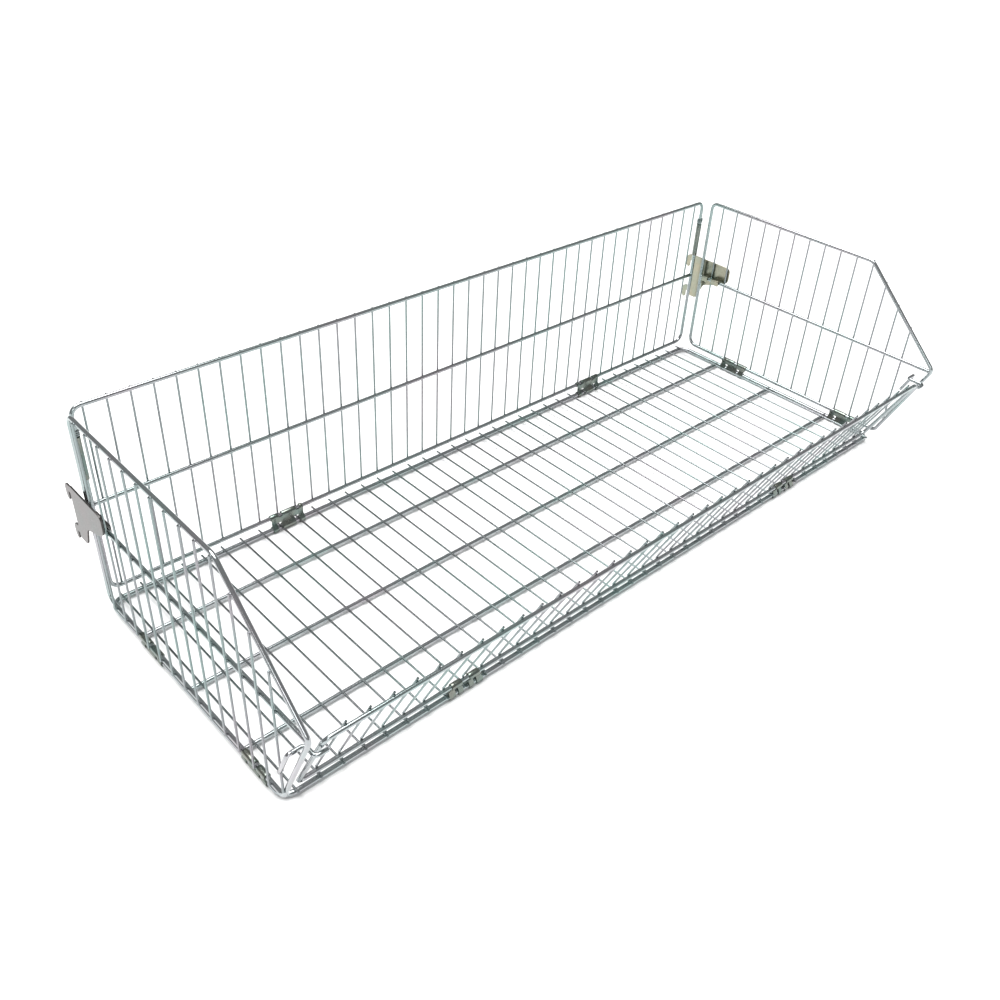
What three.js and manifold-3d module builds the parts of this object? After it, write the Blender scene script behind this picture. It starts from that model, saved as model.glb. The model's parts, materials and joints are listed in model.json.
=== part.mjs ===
// Folding wire basket for shop shelving: base tray, two side panels, back panel and a low front lip,
// all welded from round steel wire and joined by folded sheet clips.
// Units are millimetres. +X runs along the basket, +Y to the rear, +Z up. Z = 0 is the floor.
import * as THREE from "three";
import { mergeVertices } from "three/addons/utils/BufferGeometryUtils.js";
import Module from "manifold-3d";

const wasm = await Module();
wasm.setup();

// ---------------------------------------------------------------- driving dimensions
const PITCH = 25;              // spacing of the mesh wires
const GAP = 0.3;               // clearance left between pieces that touch
const R_BASE = 3.0;            // base border wire radius
const R_FRAME = 2.5;           // panel border wire and rail radius
const R_MESH = 1.25;           // mesh wire radius
const R_STOP = 2.3;            // lip stop wire radius
const BITE = 0.55;             // how far fused wires sink into each other

const CLIP_T = 1.1;            // sheet clip thickness
const RING_BASE = R_BASE + 0.4;     // clip bore around the base wire
const RING_FRAME = R_FRAME + 0.4;   // clip bore around a panel wire
const Z0 = RING_BASE + CLIP_T;      // height of the base wire centre above the floor
const SHIFT_Y = 16.77;         // moves the open basket so its footprint is centred on the origin

const BASE_X = 487.5;          // base side wire centre
const BASE_Y = 170;            // base front and rear wire centre
const RAIL_Y = 99;             // outer base rails
const MESH_Z = Z0 + R_BASE + GAP + R_MESH;
const MESH_TIP = 3;            // how far base mesh wires pass the border wire

const SIDE_X = 490;            // side panel plane
const SIDE_Z = Z0 + 12;        // side panel hinge wire
const SIDE_TOP = Z0 + 242;     // side panel top wire
const SIDE_REAR = 160.5;       // side panel rear wire
const SIDE_BEND = -108;        // where the top wire starts to fall
const FRONT_Y = -229;          // front corner of a side panel
const FRONT_Z = Z0 + 129.5;
const TOE_Y = -176;            // front end of the side hinge wire
const SIDE_FIRST = 142.5;      // rearmost mesh wire of a side panel
const SIDE_COUNT = 14;
const MID_Z = Z0 + 126.7;      // mid rail of side and back panels

const BACK_X = 482.5;          // back panel half width
const BACK_Y = 173.8;          // back panel plane
const BACK_Z = Z0 + 14.5;      // back panel hinge wire
const BACK_TOP = Z0 + 240.6;
const BACK_PITCH = 24.7;       // spacing of the back uprights

const LIP_X = 472.5;           // lip half width
const LIP_Z = Z0 + 10.7;       // lip hinge wire
const LIP_LEN = 113.6;         // lip height along its slope
const LIP_TILT = THREE.MathUtils.degToRad(27);
const LIP_TIP = 2.5;           // how far lip mesh wires pass the top rail

const PLATE_T = 2;             // shelf bracket sheet
const PLATE_X = SIDE_X + R_FRAME + GAP + 2 * R_MESH + GAP;

// ---------------------------------------------------------------- colours
const ZINC = { color: 0xc9ced0, roughness: 0.28, metalness: 0.9 };
const MESH_ZINC = { color: 0xbcc3c5, roughness: 0.32, metalness: 0.9 };
const CLIP_ZINC = { color: 0xc8c4ab, roughness: 0.38, metalness: 0.85 };
const PLATE_ZINC = { color: 0xb5b29f, roughness: 0.42, metalness: 0.85 };

// ---------------------------------------------------------------- solids
class Route extends THREE.Curve {
  constructor(points) {
    super();
    this.points = points;
  }

  getPoint(t, target = new THREE.Vector3()) {
    const last = this.points.length - 1;
    const at = Math.min(Math.max(t, 0), 1) * last;
    const i = Math.min(Math.floor(at + 1e-9), last - 1);
    return target.lerpVectors(this.points[i], this.points[i + 1], at - i);
  }

  getPointAt(t, target) {
    return this.getPoint(t, target);
  }

  getTangentAt(t, target = new THREE.Vector3()) {
    const last = this.points.length - 1;
    const i = Math.round(t * last);
    const before = this.points[Math.max(i - 1, 0)];
    const after = this.points[Math.min(i + 1, last)];
    const here = this.points[i];
    const into = here.clone().sub(before).normalize();
    const out = after.clone().sub(here).normalize();
    return target.copy(into).add(out).normalize();
  }
}

function toManifold(geometry) {
  const plain = geometry.clone();
  plain.deleteAttribute("normal");
  plain.deleteAttribute("uv");
  const merged = mergeVertices(plain, 1e-4);
  const positions = merged.attributes.position.array;
  const index = Array.from(merged.index.array);
  let volume = 0;
  for (let i = 0; i < index.length; i += 3) {
    const a = new THREE.Vector3().fromArray(positions, index[i] * 3);
    const b = new THREE.Vector3().fromArray(positions, index[i + 1] * 3);
    const c = new THREE.Vector3().fromArray(positions, index[i + 2] * 3);
    volume += a.dot(b.cross(c));
  }
  if (volume < 0) {
    index.reverse();
  }
  return new wasm.Manifold(new wasm.Mesh({
    numProp: 3,
    vertProperties: new Float32Array(positions),
    triVerts: new Uint32Array(index),
  }));
}

function toGeometry(solid) {
  const mesh = solid.getMesh();
  const geometry = new THREE.BufferGeometry();
  geometry.setAttribute("position", new THREE.BufferAttribute(new Float32Array(mesh.vertProperties), 3));
  geometry.setIndex(new THREE.BufferAttribute(new Uint32Array(mesh.triVerts), 1));
  geometry.computeVertexNormals();
  return geometry;
}

function fuse(solids) {
  let whole = solids[0];
  for (const solid of solids.slice(1)) {
    whole = whole.add(solid);
  }
  return whole;
}

function v(x, y, z) {
  return new THREE.Vector3(x, y, z);
}

function polygon(radius, sides, Kind = THREE.Shape) {
  const points = [];
  for (let i = 0; i < sides; i += 1) {
    const a = ((i + 0.5) / sides) * 2 * Math.PI;
    points.push(new THREE.Vector2(radius * Math.cos(a), radius * Math.sin(a)));
  }
  return new Kind(points);
}

// Round wire along a list of points.
function wire(points, radius, sides) {
  const geometry = new THREE.ExtrudeGeometry(polygon(radius, sides), {
    steps: points.length - 1,
    extrudePath: new Route(points),
    bevelEnabled: false,
  });
  return toManifold(geometry);
}

// Points of a bend of the given radius at a corner.
function bend(before, corner, after, radius, steps) {
  const back = before.clone().sub(corner).normalize();
  const on = after.clone().sub(corner).normalize();
  const half = back.angleTo(on) / 2;
  const reach = radius / Math.tan(half);
  const middle = back.clone().add(on).normalize();
  const centre = corner.clone().addScaledVector(middle, radius / Math.sin(half));
  const from = corner.clone().addScaledVector(back, reach).sub(centre);
  const to = corner.clone().addScaledVector(on, reach).sub(centre);
  const axis = from.clone().cross(to).normalize();
  const sweep = from.angleTo(to);
  const points = [];
  for (let i = 0; i <= steps; i += 1) {
    points.push(from.clone().applyAxisAngle(axis, (sweep * i) / steps).add(centre));
  }
  return points;
}

// Open wire with rounded bends at its inner corners.
function bentWire(corners, bendRadius, radius, sides, steps) {
  const points = [corners[0]];
  for (let i = 1; i < corners.length - 1; i += 1) {
    points.push(...bend(corners[i - 1], corners[i], corners[i + 1], bendRadius, steps));
  }
  points.push(corners[corners.length - 1]);
  return wire(points, radius, sides);
}

// Closed wire loop with rounded corners, butt-welded in the middle of its first side.
function wireLoop(corners, bends, radius, sides) {
  const count = corners.length;
  const seam = corners[0].clone().add(corners[1]).multiplyScalar(0.5);
  const along = corners[1].clone().sub(corners[0]).normalize();
  const points = [seam.clone().addScaledVector(along, 0.5)];
  for (let i = 1; i <= count; i += 1) {
    const before = corners[i - 1];
    const corner = corners[i % count];
    const after = corners[(i + 1) % count];
    points.push(...bend(before, corner, after, bends[i % count], 4));
  }
  points.push(seam.clone().addScaledVector(along, -0.5));
  const open = wire(points, radius, sides);
  const plug = wire([seam.clone().addScaledVector(along, -2), seam.clone().addScaledVector(along, 2)], radius, sides);
  return open.add(plug);
}

function box(x0, x1, y0, y1, z0, z1) {
  const geometry = new THREE.BoxGeometry(x1 - x0, y1 - y0, z1 - z0);
  geometry.translate((x0 + x1) / 2, (y0 + y1) / 2, (z0 + z1) / 2);
  return toManifold(geometry);
}

// Outline in (p, q) pulled along the clip axis from a to b.
function slab(points, a, b) {
  const shape = new THREE.Shape(points.map(([p, q]) => new THREE.Vector2(p, q)));
  const geometry = new THREE.ExtrudeGeometry(shape, { depth: b - a, bevelEnabled: false });
  geometry.translate(0, 0, a);
  return toManifold(geometry);
}

function ring(p, q, bore, a, b) {
  const shape = polygon(bore + CLIP_T, 10);
  shape.holes.push(polygon(bore, 10, THREE.Path));
  const geometry = new THREE.ExtrudeGeometry(shape, { depth: b - a, bevelEnabled: false });
  geometry.translate(p, q, a);
  return toManifold(geometry);
}

// ---------------------------------------------------------------- group
const group = new THREE.Group();
group.name = "folding_wire_basket";

function put(name, solid, look) {
  const placed = solid.translate([0, SHIFT_Y, 0]);
  const mesh = new THREE.Mesh(toGeometry(placed), new THREE.MeshStandardMaterial(look));
  mesh.name = name;
  group.add(mesh);
}

function flipX(solid) {
  return solid.mirror([1, 0, 0]);
}

// ---------------------------------------------------------------- base tray
function baseFrame() {
  const corners = [
    v(-BASE_X, -BASE_Y, Z0),
    v(BASE_X, -BASE_Y, Z0),
    v(BASE_X, BASE_Y, Z0),
    v(-BASE_X, BASE_Y, Z0),
  ];
  return wireLoop(corners, [14, 14, 14, 14], R_BASE, 8);
}

function baseRail(y, z) {
  const end = BASE_X - R_BASE - GAP;
  return wire([v(-end, y, z), v(end, y, z)], R_FRAME, 8);
}

// Mesh wires lie across the tray and are welded to its middle rail.
function baseMesh() {
  const end = BASE_Y + R_BASE + MESH_TIP;
  const lift = MESH_Z - R_MESH - R_FRAME + BITE;
  const parts = [baseRail(0, lift)];
  const half = Math.floor((BASE_X - 5) / PITCH);
  for (let i = -half; i <= half; i += 1) {
    parts.push(wire([v(i * PITCH, -end, MESH_Z), v(i * PITCH, end, MESH_Z)], R_MESH, 6));
  }
  return fuse(parts);
}

// ---------------------------------------------------------------- side panels
const toeSlope = (FRONT_Z - SIDE_Z) / (TOE_Y - FRONT_Y);
const brow = (SIDE_TOP - FRONT_Z) / (SIDE_BEND - FRONT_Y);

function sideTopAt(y) {
  return y >= SIDE_BEND ? SIDE_TOP : SIDE_TOP - (SIDE_BEND - y) * brow;
}

function sideFootAt(y) {
  return y >= TOE_Y ? SIDE_Z : SIDE_Z + (TOE_Y - y) * toeSlope;
}

function sideFrame() {
  const corners = [
    v(SIDE_X, TOE_Y, SIDE_Z),
    v(SIDE_X, SIDE_REAR, SIDE_Z),
    v(SIDE_X, SIDE_REAR, SIDE_TOP),
    v(SIDE_X, SIDE_BEND, SIDE_TOP),
    v(SIDE_X, FRONT_Y, FRONT_Z),
  ];
  return wireLoop(corners, [8, 12, 9, 16, 8], R_FRAME, 8);
}

// Upright mesh wires on the outer face, welded to the side mid rail.
function sideMesh() {
  const out = SIDE_X + R_FRAME + GAP + R_MESH;
  const railX = out - R_MESH - R_FRAME + BITE;
  const rear = v(railX, SIDE_REAR - R_FRAME - GAP, MID_Z);
  const front = v(railX, FRONT_Y + 6.6, MID_Z);
  const parts = [wire([front, rear], R_FRAME, 8)];
  for (let i = 0; i < SIDE_COUNT; i += 1) {
    const y = SIDE_FIRST - i * PITCH;
    parts.push(wire([v(out, y, sideFootAt(y)), v(out, y, sideTopAt(y) + 1)], R_MESH, 6));
  }
  return fuse(parts);
}

// ---------------------------------------------------------------- back panel
function backFrame() {
  const corners = [
    v(-BACK_X, BACK_Y, BACK_Z),
    v(BACK_X, BACK_Y, BACK_Z),
    v(BACK_X, BACK_Y, BACK_TOP),
    v(-BACK_X, BACK_Y, BACK_TOP),
  ];
  return wireLoop(corners, [12, 12, 10, 10], R_FRAME, 8);
}

// Upright mesh wires on the rear face, welded to the back mid rail.
function backMesh() {
  const out = BACK_Y + R_FRAME + GAP + R_MESH;
  const railY = out - R_MESH - R_FRAME + BITE;
  const end = BACK_X - R_FRAME - GAP;
  const parts = [wire([v(-end, railY, MID_Z), v(end, railY, MID_Z)], R_FRAME, 8)];
  const half = Math.floor((BACK_X - 10) / BACK_PITCH);
  for (let i = -half; i <= half; i += 1) {
    const x = i * BACK_PITCH;
    parts.push(wire([v(x, out, BACK_Z), v(x, out, BACK_TOP + 1)], R_MESH, 6));
  }
  return fuse(parts);
}

// ---------------------------------------------------------------- front lip
// The lip is drawn standing upright over its hinge wire, then leaned out over the front.
function lipPanel() {
  const corners = [
    v(-LIP_X, 0, 0),
    v(LIP_X, 0, 0),
    v(LIP_X, 0, LIP_LEN),
    v(-LIP_X, 0, LIP_LEN),
  ];
  const parts = [wireLoop(corners, [9, 9, 9, 9], R_FRAME, 8)];
  const inner = R_FRAME + R_MESH - BITE;
  const half = Math.floor((LIP_X - 15) / PITCH);
  for (let i = -half; i <= half; i += 1) {
    const x = i * PITCH;
    parts.push(wire([v(x, inner, -2), v(x, inner, LIP_LEN + R_FRAME + LIP_TIP)], R_MESH, 6));
  }
  const lean = THREE.MathUtils.radToDeg(LIP_TILT);
  return fuse(parts).rotate([lean, 0, 0]).translate([0, -BASE_Y, LIP_Z]);
}

// ---------------------------------------------------------------- hinge clips
// A clip is a sheet strip with tabs curled round the base wire and round a panel wire. It is drawn
// with the base wire at (0, 0) and the panel wire at (dp, dq); the strip runs on the low-p side.
function hingeClip(dp, dq, baseTabs, panelTabs) {
  const low = -RING_BASE - CLIP_T;
  const high = dp - RING_FRAME - CLIP_T;
  const edge = (q) => low + ((high - low) * q) / dq;
  const strip = (q0, q1, a, b) => slab([
    [edge(q0), q0],
    [edge(q0) + CLIP_T, q0],
    [edge(q1) + CLIP_T, q1],
    [edge(q1), q1],
  ], a, b);
  const all = [...baseTabs, ...panelTabs];
  const start = Math.min(...all.map((tab) => tab[0]));
  const end = Math.max(...all.map((tab) => tab[1]));
  const over = R_BASE + GAP + 2 * R_MESH + 0.5;
  const parts = [strip(over, dq, start, end)];
  for (const [a, b] of baseTabs) {
    parts.push(ring(0, 0, RING_BASE, a, b));
    parts.push(strip(0, over + 0.2, a, b));
  }
  for (const [a, b] of panelTabs) {
    parts.push(ring(dp, dq, RING_FRAME, a, b));
  }
  return fuse(parts);
}

const REAR_CLIP_X = 262.5;
const REAR_BASE_TABS = [[-22, -15], [-9, 9], [15, 22]];
const REAR_PANEL_TABS = [[-22, -18.5], [-12.5, 6.5], [12, 22]];
const LIP_CLIP_X = 275;
const LIP_BASE_TABS = [[-22, -3.5], [3.5, 22]];
const LIP_PANEL_TABS = [[-22, -3.5], [3.5, 22]];
const SIDE_CLIPS = {
  rear: { y: 71, base: [[-21, -13], [-9, 9], [13, 21]], panel: [[-23, -6.5], [-0.5, 18.5]] },
  front: { y: -126, base: [[-21, -13], [-9, 9], [13, 21]], panel: [[-23, -9.5], [-3.5, 15.5]] },
};

// Clip axis along X: p points to the rear.
function alongX(clip, x, y) {
  return clip.rotate([90, 0, 90]).translate([x, y, Z0]);
}

function rearClip(x) {
  return alongX(hingeClip(BACK_Y - BASE_Y, BACK_Z - Z0, REAR_BASE_TABS, REAR_PANEL_TABS), x, BASE_Y);
}

function lipClip(x) {
  return alongX(hingeClip(0, LIP_Z - Z0, LIP_BASE_TABS, LIP_PANEL_TABS), x, -BASE_Y);
}

// Clip axis along Y: p points outwards, the strip stays inside the basket.
function sideClip({ y, base, panel }) {
  const clip = hingeClip(SIDE_X - BASE_X, SIDE_Z - Z0, base.map(flipTab), panel.map(flipTab));
  return clip.rotate([90, 0, 0]).translate([BASE_X, y, Z0]);
}

function flipTab([a, b]) {
  return [-b, -a];
}

// ---------------------------------------------------------------- rear corner catches
// Sleeve pinched on an end upright of the back panel, with two thicker turns at its top.
const CATCH_LOW = Z0 + 159;
const CATCH_TOP = Z0 + 217;
const TURN_R = 4.6;

function turn(z) {
  const shape = polygon(TURN_R, 10);
  shape.holes.push(polygon(RING_FRAME, 10, THREE.Path));
  const geometry = new THREE.ExtrudeGeometry(shape, { depth: 3.4, bevelEnabled: false });
  geometry.translate(0, 0, z);
  return toManifold(geometry);
}

function cornerCatch() {
  const sleeve = ring(0, 0, RING_FRAME, CATCH_LOW, CATCH_TOP);
  const turns = [turn(CATCH_TOP - 8.4), turn(CATCH_TOP - 4)];
  return fuse([sleeve, ...turns]).translate([BACK_X, BACK_Y, 0]);
}

// ---------------------------------------------------------------- shelf brackets
// Plate outside the side panel with two teeth that drop into the slots of a shelf upright.
const TOOTH_PITCH = 50;
const PLATE_REAR = 184;
const PLATE_FRONT = 114;

function tooth(z) {
  return [
    [PLATE_REAR, z],
    [PLATE_REAR + 4.5, z],
    [PLATE_REAR + 4.5, z - 8],
    [PLATE_REAR + 6, z - 11],
    [PLATE_REAR + 9, z - 11],
    [PLATE_REAR + 11.5, z - 7],
    [PLATE_REAR + 12, z + 2],
    [PLATE_REAR + 10, z + 7],
    [PLATE_REAR + 6, z + 9],
    [PLATE_REAR, z + 9],
  ];
}

function shelfBracket() {
  const z = (h) => Z0 + h;
  const outline = [
    [PLATE_FRONT, z(134)],
    [PLATE_FRONT + 1.2, z(130)],
    [PLATE_FRONT + 4, z(127.5)],
    [128, z(121)],
    [154, z(112.5)],
    [157.5, z(110.5)],
    [159.5, z(107)],
    [165, z(92)],
    [167, z(88)],
    [171, z(86)],
    [PLATE_REAR - 3, z(86)],
    [PLATE_REAR, z(88)],
    ...tooth(z(142 - TOOTH_PITCH)),
    ...tooth(z(142)),
    [PLATE_REAR - 3, z(152)],
    [PLATE_FRONT + 6, z(152)],
    [PLATE_FRONT + 2, z(150.5)],
    [PLATE_FRONT, z(147)],
  ];
  const shape = new THREE.Shape(outline.map(([y, h]) => new THREE.Vector2(y, h)));
  const plate = new THREE.ExtrudeGeometry(shape, { depth: PLATE_T, bevelEnabled: false });
  plate.rotateX(Math.PI / 2);
  plate.rotateZ(Math.PI / 2);
  plate.translate(PLATE_X, 0, 0);
  const parts = [toManifold(plate)];
  const railTop = MID_Z + R_FRAME + GAP;
  const inner = SIDE_X - R_FRAME - 1;
  for (const [a, b] of [[124, 138], [145, 155]]) {
    parts.push(box(inner - 1.2, PLATE_X + 0.5, a, b, railTop, railTop + 1.6));
    parts.push(box(inner - 1.2, inner, a, b, MID_Z - 4, railTop + 0.5));
  }
  return fuse(parts);
}

// ---------------------------------------------------------------- lip stops
// Bent wire welded outside a side panel, behind its front edge. Its end turns in front of the lip and
// stops it falling out. The right stop sits higher than the left one.
const STOPS = {
  right: { foot: Z0 + 82, head: Z0 + 110, back: 16, front: -226.6 },
  left: { foot: Z0 + 62, head: Z0 + 98, back: 10, front: -220.7 },
};

function lipStop({ foot, head, back, front }) {
  const out = PLATE_X + R_STOP;
  const legAt = (z) => FRONT_Y + (FRONT_Z - z) / toeSlope + back;
  const inX = 481;
  const corners = [
    v(out, legAt(foot), foot),
    v(out, legAt(head), head),
    v(inX, legAt(head), head),
    v(inX, front, head),
    v(LIP_X - 4, front, head),
  ];
  return bentWire(corners, 4, R_STOP, 8, 4);
}

// ---------------------------------------------------------------- assembly
put("base_frame", baseFrame(), ZINC);
put("base_rail_rear", baseRail(RAIL_Y, Z0 + 0.2), ZINC);
put("base_rail_front", baseRail(-RAIL_Y, Z0 + 0.2), ZINC);
put("base_mesh", baseMesh(), MESH_ZINC);

put("back_frame", backFrame(), ZINC);
put("back_mesh", backMesh(), MESH_ZINC);

put("side_frame_right", sideFrame(), ZINC);
put("side_mesh_right", sideMesh(), MESH_ZINC);
put("side_frame_left", flipX(sideFrame()), ZINC);
put("side_mesh_left", flipX(sideMesh()), MESH_ZINC);

put("lip_panel", lipPanel(), ZINC);

put("hinge_clip_back_right", rearClip(REAR_CLIP_X), CLIP_ZINC);
put("hinge_clip_back_left", flipX(rearClip(REAR_CLIP_X)), CLIP_ZINC);
put("hinge_clip_lip_right", lipClip(LIP_CLIP_X), CLIP_ZINC);
put("hinge_clip_lip_left", flipX(lipClip(LIP_CLIP_X)), CLIP_ZINC);
for (const place of ["rear", "front"]) {
  const clip = sideClip(SIDE_CLIPS[place]);
  put(`hinge_clip_right_${place}`, clip, CLIP_ZINC);
  put(`hinge_clip_left_${place}`, flipX(clip), CLIP_ZINC);
}

put("corner_catch_right", cornerCatch(), CLIP_ZINC);
put("corner_catch_left", flipX(cornerCatch()), CLIP_ZINC);
put("shelf_bracket_right", shelfBracket(), PLATE_ZINC);
put("shelf_bracket_left", flipX(shelfBracket()), PLATE_ZINC);
put("lip_stop_right", lipStop(STOPS.right), ZINC);
put("lip_stop_left", flipX(lipStop(STOPS.left)), ZINC);

export default group;
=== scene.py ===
import json
from math import acos, cos, pi, radians, sin

import bmesh
import bpy
from mathutils import Euler, Matrix, Vector


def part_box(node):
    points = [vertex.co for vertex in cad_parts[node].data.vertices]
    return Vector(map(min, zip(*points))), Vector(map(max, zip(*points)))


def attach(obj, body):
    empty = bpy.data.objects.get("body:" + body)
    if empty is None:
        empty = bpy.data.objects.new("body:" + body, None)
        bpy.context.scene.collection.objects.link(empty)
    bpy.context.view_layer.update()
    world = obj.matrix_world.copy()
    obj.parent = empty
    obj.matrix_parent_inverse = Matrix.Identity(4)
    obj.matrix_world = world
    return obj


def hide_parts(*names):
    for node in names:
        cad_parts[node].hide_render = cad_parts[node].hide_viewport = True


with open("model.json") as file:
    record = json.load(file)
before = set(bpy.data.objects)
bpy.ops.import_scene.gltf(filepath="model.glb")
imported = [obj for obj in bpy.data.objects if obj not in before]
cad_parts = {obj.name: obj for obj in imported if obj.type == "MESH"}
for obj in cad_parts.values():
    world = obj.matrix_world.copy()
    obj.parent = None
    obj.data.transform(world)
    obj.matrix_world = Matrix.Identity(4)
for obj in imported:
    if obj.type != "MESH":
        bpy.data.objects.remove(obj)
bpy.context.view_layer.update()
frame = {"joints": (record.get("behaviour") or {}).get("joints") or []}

bl_info = {
    "name": "Folding Wire Basket",
    "version": (1, 0, 0),
    "blender": (4, 5, 0),
    "location": "View3D > Sidebar > Wire Basket",
    "description": "Builds a folding wire shelf basket from welded panels, clips and brackets",
    "category": "Object",
}

BORDER_LOW, BORDER_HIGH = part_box("base_frame")
SIDE_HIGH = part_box("side_frame_right")[1]
BACK_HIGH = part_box("back_frame")[1]
LIP_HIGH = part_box("lip_panel")[1]
JOINTS = {joint["name"]: joint for joint in frame["joints"]}

# The thick wires of the frame are eight-sided: a flat lies at this share of the radius.
FLAT = cos(radians(22.5))
PITCH = 0.025
BACK_PITCH = 0.0247


# ------------------------------------------------------------------ settings
class BasketSizes(bpy.types.PropertyGroup):
    """Wire and sheet sizes of the basket."""

    border_radius: bpy.props.FloatProperty(
        name="Base border radius",
        description="Radius of the wire round the base tray",
        default=0.0030,
        min=0.001,
        max=0.006,
        unit="LENGTH",
        precision=5,
    )
    panel_radius: bpy.props.FloatProperty(
        name="Panel wire radius",
        description="Radius of the panel borders and rails",
        default=0.0025,
        min=0.001,
        max=0.005,
        unit="LENGTH",
        precision=5,
    )
    mesh_radius: bpy.props.FloatProperty(
        name="Mesh wire radius",
        description="Radius of the thin mesh wires",
        default=0.00125,
        min=0.0005,
        max=0.003,
        unit="LENGTH",
        precision=5,
    )
    stop_radius: bpy.props.FloatProperty(
        name="Lip stop radius",
        description="Radius of the bent wires that stop the lip",
        default=0.0023,
        min=0.001,
        max=0.004,
        unit="LENGTH",
        precision=5,
    )
    clip_sheet: bpy.props.FloatProperty(
        name="Clip sheet",
        description="Thickness of the curled sheet clips",
        default=0.0010,
        min=0.0005,
        max=0.002,
        unit="LENGTH",
        precision=5,
    )


class BasketColours(bpy.types.PropertyGroup):
    """Finish colours of the basket; the mesh, clip and left bracket colours are darkened with painted
    shade.
    """

    wire: bpy.props.FloatVectorProperty(
        name="Wire zinc",
        description="Bright zinc plating on the wires",
        default=(0.39, 0.425, 0.425),
        min=0.0,
        max=1.0,
        subtype="COLOR",
    )
    # Darker than the wire zinc as painted shade: the thin wires have the same plating as the thick ones.
    mesh: bpy.props.FloatVectorProperty(
        name="Mesh zinc",
        description="Zinc plating on the thin mesh wires",
        default=(0.28, 0.315, 0.315),
        min=0.0,
        max=1.0,
        subtype="COLOR",
    )
    # Clip colour: the green and straw tints are passivation; the dark tone is painted shade on the curled
    # sheet.
    clip: bpy.props.FloatVectorProperty(
        name="Clip zinc",
        description="Passivated zinc on the sheet clips",
        default=(0.19, 0.22, 0.205),
        min=0.0,
        max=1.0,
        subtype="COLOR",
    )
    plate: bpy.props.FloatVectorProperty(
        name="Bracket zinc",
        description="Passivated zinc on the shelf brackets",
        default=(0.30, 0.305, 0.255),
        min=0.0,
        max=1.0,
        subtype="COLOR",
    )
    # Painted shade: the left bracket is the same sheet as the right one, darkened to look as its face does
    # in shade.
    left_plate_painted_shade: bpy.props.FloatVectorProperty(
        name="Left bracket zinc",
        description="Darker passivated zinc on the left shelf bracket",
        default=(0.11, 0.103, 0.10),
        min=0.0,
        max=1.0,
        subtype="COLOR",
    )


def sizes():
    return bpy.context.scene.basket_sizes


def colours():
    return bpy.context.scene.basket_colours


# ------------------------------------------------------------------ finishes
def node_group(name, inputs, outputs):
    group = bpy.data.node_groups.new(name, "ShaderNodeTree")
    for label, kind, default in inputs:
        socket = group.interface.new_socket(name=label, in_out="INPUT", socket_type=kind)
        socket.default_value = default
    for label, kind in outputs:
        group.interface.new_socket(name=label, in_out="OUTPUT", socket_type=kind)
    group.nodes.new("NodeGroupInput").location = (-900, 0)
    group.nodes.new("NodeGroupOutput").location = (700, 0)
    return group


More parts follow.
